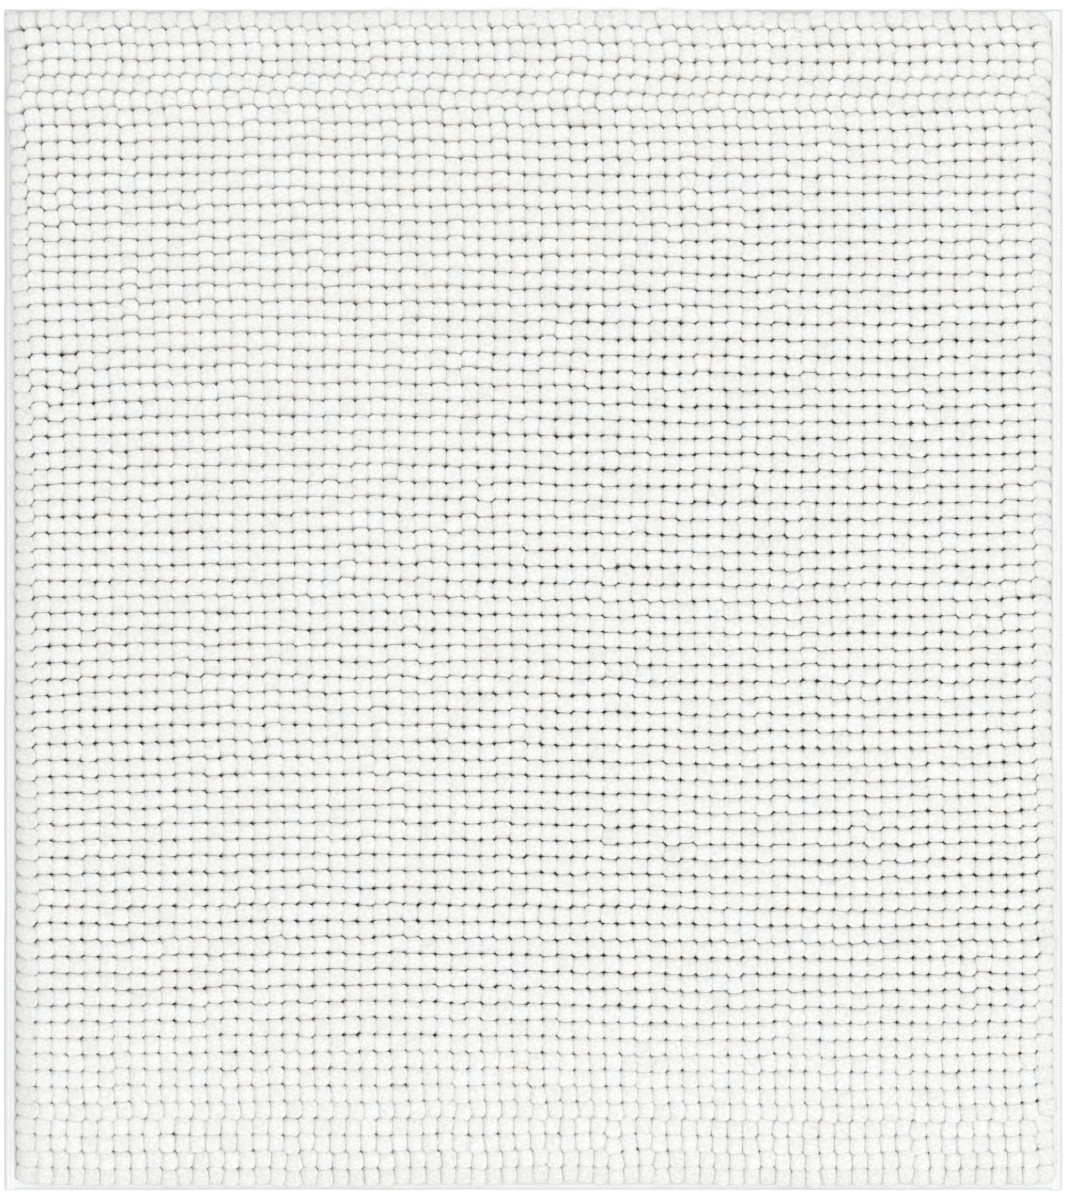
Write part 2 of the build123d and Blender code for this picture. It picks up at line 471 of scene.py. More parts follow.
# %% [markdown]
# ## The body of a bobble
# The outline is carried up the loop, narrow at the foot, widest a little above half height, and then
# closing over the crown as a superellipse, which is flatter on top than a ball. Six rings and a pole point
# are enough under smooth shading, so a shape that is there thousands of times stays light. All loops are one
# array of shape (rows, loops, points, 3), and a slice of its rows is a piece.

# %% Rings from foot to crown
FOOT_HEIGHTS = np.array([0.0, 0.3])  # shares of the loop's height
FOOT_WIDTHS = np.array([0.82, 0.92])  # shares of its outline
WIDEST = 0.6  # where the dome starts, as a share of the height
DOME_POWER = 3.8  # 2 would be a ball, and more is flatter on top
PUFF = 0.025  # how unevenly a loop is filled

dome = np.radians([0, 22, 45, 70])
dome_heights = WIDEST + (1 - WIDEST) * np.sin(dome) ** (2 / DOME_POWER)
ring_heights = np.concatenate([FOOT_HEIGHTS, dome_heights])
ring_widths = np.concatenate([FOOT_WIDTHS, np.cos(dome) ** (2 / DOME_POWER)])


def loop_points():
    """Points of every loop: ring centres run from foot to crown, and a ring is the outline times its width.

    The crown's tilt lowers a point by its distance from the centre times the slope and the height squared.
    """
    height = np.append(np.repeat(ring_heights, len(AROUND)), 1.0)
    width = np.append(np.repeat(ring_widths, len(AROUND)), 0.0)
    angle = np.append(np.tile(AROUND, len(ring_heights)), 0.0)
    reach = np.append(np.tile(outline, (1, 1, len(ring_heights))), outline[..., :1], -1) * width
    reach = reach * (1 + PUFF * rng.standard_normal(reach.shape))
    off_x, off_y = reach * np.cos(angle), reach * np.sin(angle)
    x = foot_x[..., None] + (crown_x - foot_x)[..., None] * height + off_x
    y = foot_y[..., None] + (crown_y - foot_y)[..., None] * height + off_y
    z = cloth_top + (crown_z[..., None] - cloth_top) * height
    z = z - (tilt_x[..., None] * off_x + tilt_y[..., None] * off_y) * height**2
    return np.stack([x, y, z], -1), height


loops, pile_depth = loop_points()
loops[..., 2] = np.clip(loops[..., 2], cloth_top, pile_top)
print("loop points:", loops.shape[:3], "of", len(pile_depth))

# %% [markdown]
# ## Chenille as a finish
# Chenille is a cord of short fibre ends, so light sinks into it and it has no shine, only the faint bright
# edge that sheen gives. The crowns are a clean white, cooler here and warmer there. Down in the pile the
# fibres shade each other, and that shade is painted into the colour as a slightly olive grey. Two attributes
# carry the painted light and shade. One is how high a point is on its loop, plus painted light on the loops at
# the edge, which stand in more light, so their height counts for more. The other is a tone for each loop,
# which differs at random, plus painted shade on the outermost loops, whose crowns turn away from the light.


# %% Chenille material
CROWN_COOL = (0.91, 0.92, 0.935, 1)
CROWN_WARM = (0.91, 0.905, 0.86, 1)
# painted shade: the colour deep in the pile, where the fibres shade each other
YARN_DEPTH_SHADE = (0.785, 0.79, 0.57, 1)
# grey for a loop's random tone and for the painted shade on the outermost loops
YARN_GREY_TONE_AND_SHADE = (0.8, 0.8, 0.77, 1)
FIBRE_DARK = (0.88, 0.88, 0.87, 1)
FIBRE_LIGHT = (0.95, 0.95, 0.95, 1)


def chenille():
    """Colour: painted depth shade to crown by height, grey by tone and painted edge shade, darker or lighter
    by fuzz.
    """
    material, tree, shader, coords = new_material(
        "chenille", Roughness=1.0, Sheen_Weight=0.25, Sheen_Roughness=0.5, Specular_IOR_Level=0.1)
    fuzz = place_group(tree, fibre_fuzz, coords, Scale=750.0)
    mottle = place_group(tree, cloth_mottle, coords, Scale=60.0)
    # painted light and shade: a point's height on its loop, plus painted light on the loops at the edge
    height = add(tree, "ShaderNodeAttribute", attribute_name="pile_height_and_edge_light").outputs["Fac"]
    tone_and_shade = add(tree, "ShaderNodeAttribute", attribute_name="loop_tone_and_edge_shade").outputs["Fac"]
    crown = blend_colour(tree, mottle["Mask"], CROWN_COOL, CROWN_WARM)
    colour = blend_colour(tree, span(tree, height, 0.45, 0.96), YARN_DEPTH_SHADE, crown)
    colour = blend_colour(tree, math(tree, "MULTIPLY", tone_and_shade, 0.45), colour, YARN_GREY_TONE_AND_SHADE)
    hollow = blend_colour(tree, 1.0, colour, FIBRE_DARK, "MULTIPLY")
    tip = blend_colour(tree, 0.55, colour, FIBRE_LIGHT)
    tree.links.new(blend_colour(tree, fuzz["Mask"], hollow, tip), shader.inputs["Base Color"])
    bump(tree, shader, fuzz["Height"], 0.9, 0.8 * MM)
    return material


chenille_finish = chenille()


# %% Cut the pile into pieces of a few rows
ROWS_PER_PIECE = 6
TONE_SPREAD = 0.3  # how much one loop's tone differs from the next one's
TONE_LIMIT = 1.5
# painted shade: the outermost loops, whose crowns turn away from the light, get a greyer tone
painted_edge_shade = np.maximum(np.maximum(at_side, at_near), 0.4 * at_far)
# painted light: the loops at the edge stand in more light, so their colour is lifted out of the pile's painted
# shade
edge_light = 0.6 * at_edge + 0.3 * at_side


def bobble_faces():
    """Faces of one loop: quads between rings, triangles to the pole point, and the foot's cap."""
    rings, around = len(ring_heights), len(AROUND)
    top_ring = (rings - 1) * around + np.arange(around)
    crown_fan = np.stack([top_ring, np.roll(top_ring, -1), np.full(around, rings * around)], -1)
    return tube_quads(rings, around), crown_fan, np.arange(around)[::-1][None]


def chenille_piece(number):
    """The loops of some neighbouring rows as one mesh, with its two attributes."""
    first = number * ROWS_PER_PIECE
    rows = slice(first, first + ROWS_PER_PIECE)
    block = loops[rows]
    count, each = block.shape[0] * block.shape[1], block.shape[2]
    faces = [copies(kind, count, each) for kind in bobble_faces()]
    piece = mesh_piece(f"chenille_rows_{number + 1:02d}", block.reshape(-1, 3), faces, chenille_finish)
    # a random tone for each loop, plus painted shade on the loops at the edge
    tone_and_shade = np.abs(rng.standard_normal(count)) * TONE_SPREAD + painted_edge_shade[rows].ravel()
    paint(piece, "pile_height_and_edge_light", np.tile(pile_depth, count) + np.repeat(edge_light[rows].ravel(), each))
    paint(piece, "loop_tone_and_edge_shade", np.repeat(np.clip(tone_and_shade, 0, TONE_LIMIT), each))
    pairs = YARN_NODES[first // 2:(first + ROWS_PER_PIECE) // 2]
    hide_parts(*pairs)
    return piece


pile = [chenille_piece(number) for number in range(ROWS // ROWS_PER_PIECE)]
print(len(pile), "pile pieces,", sum(len(piece.data.polygons) for piece in pile), "faces")

# %% [markdown]
# ## The layers under the pile
# The ground cloth, the latex coat and the anti-slip backing are thin flat layers. Each is a closed slab:
# one height field for its top, one for its underside, on the same grid, and a wall round the rim. The yarn's
# back stitches show through the layers under them as faint ribs, one for each row.


# %% A slab between two height fields
def slab_piece(name, xs, ys, bottom, top, material):
    """A closed thin sheet over the grid xs by ys, from the heights bottom to the heights top."""
    x, y = np.meshgrid(xs, ys)
    layers = [np.stack([x, y, np.broadcast_to(z, x.shape)], -1).reshape(-1, 3) for z in (bottom, top)]
    index = np.arange(x.size).reshape(x.shape)
    corners = [index[:-1, :-1], index[:-1, 1:], index[1:, 1:], index[1:, :-1]]
    upper = np.stack(corners, -1).reshape(-1, 4)
    rim = np.concatenate([index[0, :-1], index[:-1, -1], index[-1, :0:-1], index[:0:-1, 0]])
    following = np.roll(rim, -1)
    walls = np.stack([rim, following, following + x.size, rim + x.size], -1)
    faces = [upper[:, ::-1], upper + x.size, walls]
    return mesh_piece(name, np.concatenate(layers), faces, material)


def row_ribs(ys, depth):
    """A rib under each yarn row: depth times a squared cosine that peaks on the row's line."""
    pitch = (field_high.y - field_low.y) / ROWS
    return (depth * np.cos(np.pi * ((ys - field_low.y) / pitch - 0.5)) ** 2)[:, None]


def cloth_grid(low, high, columns, steps_per_row):
    """Grid lines of a layer: even columns, and a few steps in each yarn row."""
    return np.linspace(low.x, high.x, columns), np.linspace(low.y, high.y, ROWS * steps_per_row + 1)


# %% Finishes of the layers
def ground_cloth_finish():
    """A plain weave: darker and rougher in the holes between the threads, and mottled."""
    material, tree, shader, coords = new_material("ground_cloth", Specular_IOR_Level=0.2)
    weave = place_group(tree, thread_weave, coords, Across=2600.0, Along=2600.0)
    mottle = place_group(tree, cloth_mottle, coords, Scale=50.0)
    colour_layers(tree, shader, weave["Mask"], (0.7, 0.7, 0.68, 1), (0.82, 0.82, 0.81, 1),
                  (mottle["Mask"], 0.3, (0.72, 0.715, 0.68, 1)))
    tree.links.new(span(tree, weave["Mask"], 0, 1, 1.0, 0.85), shader.inputs["Roughness"])
    bump(tree, shader, weave["Height"], 0.7, 0.25 * MM)
    return material


def latex_finish():
    """Fuzz stretched along the rows, as the brush left it."""
    material, tree, shader, coords = new_material("latex_coat", Roughness=0.7, Specular_IOR_Level=0.35)
    streaks = add(tree, "ShaderNodeMapping")
    streaks.inputs["Scale"].default_value = (1, 12, 1)
    tree.links.new(coords, streaks.inputs["Vector"])
    brushed = place_group(tree, fibre_fuzz, streaks.outputs["Vector"], Scale=60.0)
    colour_layers(tree, shader, brushed["Mask"], (0.72, 0.69, 0.58, 1), (0.8, 0.78, 0.68, 1))
    bump(tree, shader, brushed["Height"], 0.4, 0.2 * MM)
    return material


def backing_finish():
    """A matt skin: mottled, with a fine grain that is also its bump."""
    material, tree, shader, coords = new_material("anti_slip_backing", Specular_IOR_Level=0.4)
    grain = place_group(tree, fibre_fuzz, coords, Scale=700.0)
    mottle = place_group(tree, cloth_mottle, coords, Scale=30.0)
    colour_layers(tree, shader, mottle["Mask"], (0.73, 0.73, 0.71, 1), (0.8, 0.8, 0.79, 1),
                  (grain["Mask"], 0.25, (0.68, 0.68, 0.66, 1)))
    tree.links.new(span(tree, grain["Mask"], 0, 1, 0.5, 0.72), shader.inputs["Roughness"])
    bump(tree, shader, grain["Height"], 0.35, 0.15 * MM)
    return material


def dot_finish():
    """The same skin, greyer and a little glossier where it is moulded into dots."""
    material, tree, shader, coords = new_material("grip_dots", Roughness=0.45, Specular_IOR_Level=0.5)
    grain = place_group(tree, fibre_fuzz, coords, Scale=900.0)
    mottle = place_group(tree, cloth_mottle, coords, Scale=25.0)
    colour_layers(tree, shader, mottle["Mask"], (0.6, 0.6, 0.58, 1), (0.68, 0.68, 0.67, 1),
                  (grain["Mask"], 0.3, (0.55, 0.55, 0.53, 1)))
    bump(tree, shader, grain["Height"], 0.3, 0.1 * MM)
    return material


# %% Ground cloth and latex coat
cloth_low, cloth_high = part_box("ground_cloth")
coat_low, coat_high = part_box("latex_coat")
INSET = 0.9 * MM  # the layers stop short of the tape's round fold
CLOTH_RIB = 0.08 * MM
COAT_RIB = 0.1 * MM  # on the coat's underside, and a fainter one on its top
COAT_TOP_RIB = 0.06 * MM
COAT_SINK = 0.02 * MM  # the coat's top stays this far under its own solid's
LAYER_COLUMNS, LAYER_STEPS = 40, 4

core_low = Vector((cloth_low.x + INSET, cloth_low.y + INSET, coat_low.z))
core_high = Vector((cloth_high.x - INSET, cloth_high.y - INSET, cloth_high.z))
layer_x, layer_y = cloth_grid(core_low, core_high, LAYER_COLUMNS, LAYER_STEPS)

cloth = slab_piece("woven_ground_cloth", layer_x, layer_y, cloth_low.z + row_ribs(layer_y, CLOTH_RIB),
                   cloth_high.z - CLOTH_RIB + row_ribs(layer_y, CLOTH_RIB), ground_cloth_finish())
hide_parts("ground_cloth")

coat = slab_piece("brushed_latex_coat", layer_x, layer_y, coat_low.z + row_ribs(layer_y, COAT_RIB),
                  coat_high.z - COAT_SINK + row_ribs(layer_y, COAT_TOP_RIB), latex_finish())
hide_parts("latex_coat")
print("ground cloth and coat:", len(cloth.data.polygons), "faces each")

# %% [markdown]
# ## The anti-slip backing and its dots
# The underside is a thin rubbery film. Small flat domes stand out of it and touch the floor, set in a
# staggered grid so that each has six equal neighbours. A dome is there thousands of times, so it has two
# rings of eight points and a pole, and its foot is sunk in the film.

# %% Film
FILM_LIFT = 0.16 * MM  # the film's underside to the floor, which only the dots touch
FILM_RIB = 0.12 * MM
film_x, film_y = cloth_grid(field_low, field_high, LAYER_COLUMNS, LAYER_STEPS)
film = slab_piece("backing_film", film_x, film_y, FILM_LIFT + row_ribs(film_y, FILM_RIB),
                  np.full((len(film_y), 1), field_high.z), backing_finish())
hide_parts("anti_slip_backing")

# %% Grip dots
DOT_PITCH = 9 * MM
DOT_RADIUS = 1.5 * MM
DOT_AROUND = 8
DOT_RINGS = ((0.45 * MM, 1.0), (0.08 * MM, 0.72))  # height over the floor, share of the radius
DOT_MARGIN = 1.3 * DOT_RADIUS  # a dot's middle to the label's edge, at least
label_low, label_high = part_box("care_label")


def dot_centres():
    """A staggered grid inside the film, without the places that the label covers."""
    line_gap = DOT_PITCH * np.sqrt(3) / 2
    size = field_high - field_low
    line, place = np.mgrid[:int(size.y / line_gap), :int(size.x / DOT_PITCH)]
    x = field_low.x + (place + 0.5 + 0.5 * (line % 2)) * DOT_PITCH
    y = field_low.y + (line + 0.5) * line_gap
    keep = x < field_high.x - DOT_RADIUS
    over_x = (x > label_low.x - DOT_MARGIN) & (x < label_high.x + DOT_MARGIN)
    over_y = (y > label_low.y - DOT_MARGIN) & (y < label_high.y + DOT_MARGIN)
    keep &= ~(over_x & over_y)
    return x[keep], y[keep]


def grip_dots():
    """Every dot is its rings, each a circle at one height, and a pole point on the floor."""
    x, y = dot_centres()
    turn = np.linspace(0, 2 * np.pi, DOT_AROUND, endpoint=False)[::-1]
    height = np.append(np.repeat([z for z, _ in DOT_RINGS], DOT_AROUND), 0.0)
    reach = np.append(np.repeat([share for _, share in DOT_RINGS], DOT_AROUND), 0.0) * DOT_RADIUS
    angle = np.append(np.tile(turn, len(DOT_RINGS)), 0.0)
    points = [x[:, None] + reach * np.cos(angle), y[:, None] + reach * np.sin(angle)]
    points.append(np.broadcast_to(height, points[0].shape))
    last = (len(DOT_RINGS) - 1) * DOT_AROUND + np.arange(DOT_AROUND)
    pole = np.stack([last, np.roll(last, -1), np.full(DOT_AROUND, len(height) - 1)], -1)
    foot = np.arange(DOT_AROUND)[::-1][None]
    kinds = (tube_quads(len(DOT_RINGS), DOT_AROUND), pole, foot)
    faces = [copies(kind, len(x), len(height)) for kind in kinds]
    piece = mesh_piece("grip_dots", np.stack(points, -1).reshape(-1, 3), faces, dot_finish())
    print(len(x), "grip dots")


grip_dots()

# %% [markdown]
# ## Binding tape
# The edge is bound with a woven tape folded over all the layers. Its cross-section is an upper leg, a round
# fold and a lower leg, and the tape is that profile carried along the edge. Fine ribs run across it, which
# are the tape's thick weft threads: they move the outer face in and out as a wave along the length. The
# seam pulls a shallow trough along both legs, and the upper leg ends in a thin edge under the pile. Near its
# two ends a long tape's profile shrinks towards its mid-height, because the ends are tucked in.

# %% Tape profile
RIB_PITCH = 1.5 * MM
RIB_DEPTH = 0.3 * MM
# painted shade in the hollows between the ribs
RIB_HOLLOW_SHADE = 0.3  # how much greyer the hollows between the ribs are
RIB_STEPS = 4
RIB_ON_LEG = 0.25  # how deep the ribs are on the legs inside the seam, over their full depth
SEAM_TROUGH = 0.3 * MM
SEAM_HALF = 0.5 * MM  # half the trough's width
CREASE = 1.15  # where a leg turns into the fold, in fold radii from the mat's edge
FEATHER_REACH = 1.1 * MM  # the upper leg's thin inner edge, tucked under the pile
FEATHER_DROP = 0.4 * MM

tape_low, tape_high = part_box("binding_tape_right")
tape_width = tape_high.x - tape_low.x
tape_height = tape_high.z - tape_low.z
seam_low, seam_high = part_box("needle_thread_right")
seam_inward = tape_high.x - (seam_low.x + seam_high.x) / 2
leg_thickness = coat_low.z
fold = tape_height / 2


def tape_profile():
    """Inward distance and height of each profile point, and its share of the ribs, the trough and the painted
    shade.

    The outer face comes first: upper leg, half circle, lower leg. The inner face follows, back again.
    """
    leg = np.array([tape_width, tape_width * 0.9, seam_inward + SEAM_HALF, seam_inward,
                    seam_inward - SEAM_HALF, fold * 1.5, fold * CREASE, fold * 0.85])
    bend = np.radians([55, 28, 0, -28, -55])
    outer_in = np.concatenate([leg, fold * (1 - np.cos(bend)), leg[::-1]])
    outer_z = np.concatenate([np.full(len(leg), tape_height), fold * (1 + np.sin(bend)), np.zeros(len(leg))])
    hollow = fold - leg_thickness
    inner_leg = np.array([tape_width, fold])
    curve = np.radians([-60, 0, 60])
    inner_in = np.concatenate([inner_leg, fold - hollow * np.cos(curve), inner_leg[::-1]])
    inner_z = np.concatenate([[leg_thickness] * 2, fold + hollow * np.sin(curve),
                              [2 * fold - leg_thickness] * 2])
    outer_in[0] += FEATHER_REACH
    inner_in[-1] += FEATHER_REACH
    outer_z[[0, -1]] += np.array([-FEATHER_DROP, FEATHER_DROP])
    on_seam = np.isclose(leg, seam_inward)
    crease = 0.5 * np.isclose(leg, fold * CREASE)
    pulled = on_seam + crease
    trough = np.concatenate([-pulled, np.zeros(len(bend)), pulled[::-1], np.zeros(len(inner_in))])
    leg_rib = np.where(leg > seam_inward, RIB_ON_LEG, 1.0)
    rib = np.concatenate([leg_rib, np.ones(len(bend)), leg_rib[::-1], np.zeros(len(inner_in))])
    # Painted shade: in the crease and the seam's trough, on the upper leg's inner edge, which the pile shades,
    # near and round the fold, whose sides face away from the overhead light, and over the hidden inner face.
    leg_shade = crease + 0.15 * on_seam
    leg_shade[[0, 1, -1]] = 0.35, 0.25, 0.3
    painted_shade = np.concatenate([leg_shade, [0.8, 1, 1, 1, 0.8], leg_shade[::-1], np.ones(len(inner_in))])
    return np.append(outer_in, inner_in), np.append(outer_z, inner_z), rib, trough, painted_shade


profile_in, profile_z, profile_rib, profile_trough, profile_shade = tape_profile()
print("tape profile of", len(profile_in), "points")


# %% Tape finish
def tape_finish():
    """A fine weave with mottle and fuzz, going to grey by painted shade on the fold, creases and rib hollows.
    """
    material, tree, shader, coords = new_material("binding_tape", Specular_IOR_Level=0.25, Sheen_Weight=0.2)
    weave = place_group(tree, thread_weave, coords, Across=6300.0, Along=6300.0)
    mottle = place_group(tree, cloth_mottle, coords, Scale=70.0)
    fuzz = place_group(tree, fibre_fuzz, coords, Scale=1500.0)
    # painted shade: the grey that the tape goes to on its fold, in its creases, its rib hollows and at its
    # tucked ends
    painted_shade = add(tree, "ShaderNodeAttribute", attribute_name="tape_painted_shade").outputs["Fac"]
    colour_layers(tree, shader, weave["Mask"], (0.74, 0.745, 0.75, 1), (0.82, 0.825, 0.835, 1),
                  (mottle["Mask"], 0.25, (0.82, 0.82, 0.8, 1)), (fuzz["Mask"], 0.2, (0.88, 0.88, 0.88, 1)),
                  (span(tree, painted_shade, 0, 1), 1.0, (0.56, 0.56, 0.565, 1)))
    tree.links.new(span(tree, weave["Mask"], 0, 1, 0.95, 0.75), shader.inputs["Roughness"])
    bump(tree, shader, weave["Height"], 0.4, 0.12 * MM)
    return material


woven_tape = tape_finish()


# %% Tape along an edge
RIB_FULLNESS = 0.7  # below 1, the ribs are broad and the hollows between them narrow
LEG_FLATNESS = 1.15  # makes the whole of a leg face straight up or down
EDGE_WANDER = 0.35 * MM  # how far the folded edge strays in, and over how many stations
WANDER_REACH = 161
TUCK_KEPT = 0.25  # the share of its height that the tape keeps at a tucked end
TUCK_IN = 0.4 * MM
# painted shade on a tucked end, and how far in it reaches
END_SHADE, END_SHADE_REACH = 1.3, 0.5 * MM


def wander(count, reach):
    """A smooth random line from 0 to 1, made by blurring noise with a raised cosine of this reach."""
    window = np.hanning(reach)
    line = np.convolve(rng.standard_normal(count + reach), window, "valid")[:count]
    return (line - line.min()) / (line.max() - line.min())


def tape_piece(name, start, end, outward, tucked):
    """The profile carried from start to end along an edge that faces outward.

    Ribs: the outer face moves in by the depth times one minus a rectified cosine of the length. Wander:
    the outer edge moves in a little, slowly. Tuck: towards the two ends the heights close on mid-height.
    """
    span_length = np.linalg.norm(end - start)
    stations = int(round(span_length / RIB_PITCH)) * RIB_STEPS + 1
    along = np.linspace(0, span_length, stations)
    rib = 1 - np.abs(np.cos(np.pi * along / RIB_PITCH)) ** RIB_FULLNESS
    near_edge = 1 - profile_in / tape_width
    inward = profile_in + (EDGE_WANDER * wander(stations, WANDER_REACH))[:, None] * near_edge
    facing_z = np.clip((profile_z - fold) / fold * LEG_FLATNESS, -1, 1)
    sunk = RIB_DEPTH * rib[:, None] * profile_rib
    inward = inward + sunk * (1 - np.abs(facing_z))
    height = profile_z - sunk * facing_z + SEAM_TROUGH * profile_trough
    if tucked:
        to_end = np.minimum(along, span_length - along)[:, None]
        shut = np.clip(to_end / fold, 0, 1)
        rounding = np.sqrt(1 - (1 - shut) ** 2)
        outer_face = profile_rib > 0
        kept = np.where(outer_face, TUCK_KEPT + (1 - TUCK_KEPT) * rounding, rounding)
        height = fold + (height - fold) * kept
        inward = np.where(outer_face, inward + (1 - rounding) * TUCK_IN * near_edge, inward)
    direction = (end - start) / span_length
    points = start + along[:, None, None] * direction - inward[..., None] * outward
    points[..., 2] = height
    around = len(profile_in)
    cap = np.arange(around)[None]
    faces = [tube_quads(stations, around), cap[:, ::-1], cap + (stations - 1) * around]
    if np.cross(direction, outward)[2] < 0:
        faces = [block[:, ::-1] for block in faces]
    piece = mesh_piece(name, points.reshape(-1, 3), faces, woven_tape)
    # painted shade: the profile's, more in the hollows between the ribs, and on the tucked ends, where the
    # fold's shaded rim turns the corner
    painted_shade = profile_shade + RIB_HOLLOW_SHADE * rib[:, None] * profile_rib
    if tucked:
        painted_shade = np.maximum(painted_shade, END_SHADE - to_end / END_SHADE_REACH)
    paint(piece, "tape_painted_shade", painted_shade)
    return piece


def edge_line(side, outward):
    """The two ends of the mat's edge on the floor: the tape box's outer face, from corner to corner."""
    low, high = (np.array(corner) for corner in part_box(f"binding_tape_{side}"))
    face = np.where(outward > 0, high, low)
    return [np.where(outward == 0, corner, face) * (1, 1, 0) for corner in (low, high)]


OUTWARD = {"left": (-1.0, 0, 0), "right": (1.0, 0, 0), "near": (0, -1.0, 0), "far": (0, 1.0, 0)}
TUCKED = ("left", "right")  # the tapes that run from corner to corner

# Flat, the tape is its two legs and a half circle half way through its thickness.
for side in OUTWARD:
    outward = np.array(OUTWARD[side])
    tape_start, tape_end = edge_line(side, outward)
    tape = tape_piece(f"folded_tape_{side}", tape_start, tape_end, outward, side in TUCKED)
    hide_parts(f"binding_tape_{side}")

# %% [markdown]
# ## Seams
# The tape is sewn through with a lockstitch. The needle thread shows on top and the bobbin thread
# underneath, each as a row of short stitches whose ends dive into the tape where the two threads lock. One
# stitch is a thin tube of a few rings that rises and falls as a half sine, and thins at its ends.

# %% Stitches
STITCH_PITCH = 3.2 * MM
STITCH_LENGTH = 2.9 * MM
STITCH_RISE = 0.16 * MM
STITCH_SLANT = 0.12  # how much a stitch lies askew, over its thread's radius
STITCH_RINGS = 6
STITCH_AROUND = 6
NEEDLE_BASE = tape_height - 0.75 * SEAM_TROUGH
BOBBIN_BASE = SEAM_TROUGH + 0.05 * MM
thread_radius = (seam_high.x - seam_low.x) / 2


def stitch_row(start, end, base, rise, radius, pitch, length):
    """Stitches from start to end as an array (stitch, ring, point, 3), with the thread's middle at base.

    A ring's height is the rise times a half sine along the stitch, and its radius shrinks the same way. A
    stitch's two ends lie to opposite sides of the seam.
    """
    distance = np.linalg.norm(end - start)
    count = int(distance / pitch)
    direction = (end - start) / distance
    side = np.array([-direction[1], direction[0], 0])
    share = np.linspace(0, 1, STITCH_RINGS)
    arch = np.sin(np.pi * share)
    middle = (np.arange(count) + 0.5) * distance / count
    slant = STITCH_SLANT * radius * rng.standard_normal(count)
    turn = np.linspace(0, 2 * np.pi, STITCH_AROUND, endpoint=False)
    ring = (radius * (0.5 + 0.5 * arch ** 0.5))[:, None]
    across = ring * np.cos(turn) + slant[:, None, None] * np.linspace(-4, 4, STITCH_RINGS)[:, None]
    up = base + (rise * arch)[:, None] + ring * np.sin(turn)
    along = middle[:, None, None] + ((share - 0.5) * length)[:, None] + np.zeros(STITCH_AROUND)
    points = start + along[..., None] * direction + across[..., None] * side
    points[..., 2] = np.broadcast_to(up, along.shape)
    return points


def stitched_piece(name, rows, nodes, material):
    """Rows of stitches as one mesh that stands for these nodes."""
    points = np.concatenate(rows)
    each = STITCH_RINGS * STITCH_AROUND
    cap = np.arange(STITCH_AROUND)[None]
    kinds = (tube_quads(STITCH_RINGS, STITCH_AROUND)[:, ::-1], cap, cap[:, ::-1] + each - STITCH_AROUND)
    faces = [copies(kind, len(points), each) for kind in kinds]
    piece = mesh_piece(name, points.reshape(-1, 3), faces, material)
    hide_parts(*nodes)


def thread_finish():
    """Slanted bands for the twist, light on the plies and darker between them, with a little fuzz."""
    material, tree, shader, coords = new_material("sewing_thread", Roughness=0.6, Specular_IOR_Level=0.35)
    twist = add(tree, "ShaderNodeTexWave", {"Scale": 900.0, "Distortion": 0.0}, bands_direction="DIAGONAL")
    tree.links.new(coords, twist.inputs["Vector"])
    fuzz = place_group(tree, fibre_fuzz, coords, Scale=2500.0)
    colour_layers(tree, shader, twist.outputs["Fac"], (0.74, 0.74, 0.71, 1), (0.88, 0.88, 0.86, 1),
                  (fuzz["Mask"], 0.3, (0.9, 0.9, 0.9, 1)))
    bump(tree, shader, twist.outputs["Fac"], 0.5, 0.05 * MM)
    return material


def thread_line(node):
    """The two ends of a thread's middle line, dropped to the floor, along the longest side of its box."""
    low, high = (np.array(corner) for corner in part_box(node))
    ends = np.array([low + high, low + high]) / 2 * (1, 1, 0)
    long_way = np.argmax(high - low)
    ends[:, long_way] = low[long_way], high[long_way]
    return ends


thread = thread_finish()
for which, base, rise in (("needle", NEEDLE_BASE, STITCH_RISE), ("bobbin", BOBBIN_BASE, -STITCH_RISE)):
    threads = [f"{which}_thread_{side}" for side in OUTWARD]
    seams = [stitch_row(*thread_line(node), base, rise, thread_radius, STITCH_PITCH, STITCH_LENGTH)
             for node in threads]
    stitched_piece(f"{which}_stitches", seams, threads, thread)
    print(sum(map(len, seams)), which, "stitches")

# %% [markdown]
# ## Care label
# A small woven ribbon label, left blank, lies flat on the backing by the near edge. Two short rows of
# stitches hold it.


# %% Care label and its stitches
def label_finish():
    """A satin ribbon: a very fine weave, glossier on the threads than between them, and mottled."""
    material, tree, shader, coords = new_material("care_label", Specular_IOR_Level=0.45)
    weave = place_group(tree, thread_weave, coords, Across=12000.0, Along=5000.0)
    mottle = place_group(tree, cloth_mottle, coords, Scale=90.0)
    colour_layers(tree, shader, weave["Mask"], (0.82, 0.82, 0.8, 1), (0.9, 0.9, 0.89, 1),
                  (mottle["Mask"], 0.2, (0.8, 0.8, 0.77, 1)))
    tree.links.new(span(tree, weave["Mask"], 0, 1, 0.5, 0.35), shader.inputs["Roughness"])
    bump(tree, shader, weave["Height"], 0.3, 0.06 * MM)
    return material


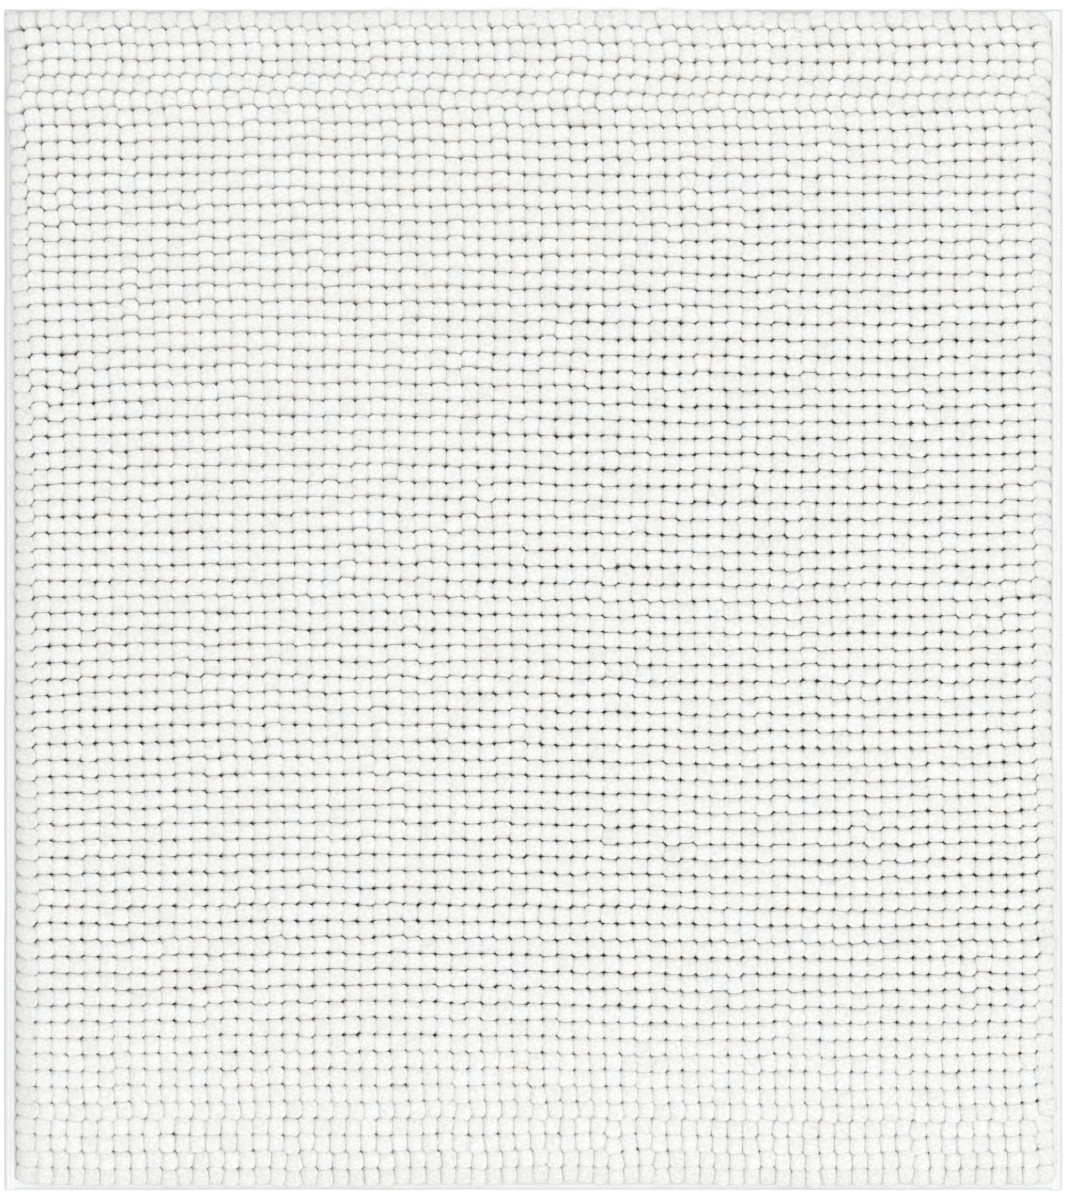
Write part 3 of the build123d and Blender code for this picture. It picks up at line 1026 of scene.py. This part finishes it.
LABEL_THICKNESS = 0.1 * MM
LABEL_LIFT = 0.03 * MM  # its lowest points to the floor
LABEL_GAP = 0.2 * MM  # the label to the near tape
RIPPLE = 0.03 * MM
TACK_BASE, TACK_RISE, TACK_RADIUS = 0.1 * MM, -0.02 * MM, 0.09 * MM
TACK_PITCH, TACK_LENGTH = 2.4 * MM, 2.0 * MM

label_x = np.linspace(label_low.x, label_high.x, 25)
label_y = np.linspace(label_low.y + LABEL_GAP, label_high.y, 41)
ripple = RIPPLE * (1 + np.sin(label_y[:, None] * 260) * np.cos(label_x * 340)) / 2
label = slab_piece("blank_care_label", label_x, label_y, LABEL_LIFT + ripple,
                   LABEL_LIFT + LABEL_THICKNESS + ripple, label_finish())
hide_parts("care_label")

tack_low, tack_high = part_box("label_stitches")
tack_rows = [stitch_row(np.array([tack_low.x, y, 0]), np.array([tack_high.x, y, 0]),
                        TACK_BASE, TACK_RISE, TACK_RADIUS, TACK_PITCH, TACK_LENGTH)
             for y in (tack_low.y, tack_high.y)]
stitched_piece("care_label_stitches", tack_rows, ["label_stitches"], thread)
print("label", [round(side / MM) for side in label_high.xy - label_low.xy], "mm, blank")

# %% [markdown]
# ## Floor
# The floor is a plain disc just under the mat. It isn't part of the object.

# %% Floor
FLOOR_RADIUS = 12.0
FLOOR_GAP = 0.05 * MM  # the floor lies this far under the mat
FLOOR_POINTS = 96


def floor_material():
    """Nearly white and matt, with a faint mottle."""
    material, tree, shader, coords = new_material("floor", Roughness=0.9)
    mottle = place_group(tree, cloth_mottle, coords, Scale=2.0)
    colour_layers(tree, shader, mottle["Mask"], (0.95, 0.95, 0.95, 1), (0.97, 0.97, 0.97, 1))
    return material


floor_turn = np.linspace(0, 2 * np.pi, FLOOR_POINTS, endpoint=False)
floor_rim = np.stack([FLOOR_RADIUS * np.cos(floor_turn), FLOOR_RADIUS * np.sin(floor_turn),
                      np.full(FLOOR_POINTS, -FLOOR_GAP)], -1)
floor = mesh_piece("floor", floor_rim, [np.arange(FLOOR_POINTS)[None]], floor_material())
print("floor radius in metres:", FLOOR_RADIUS)
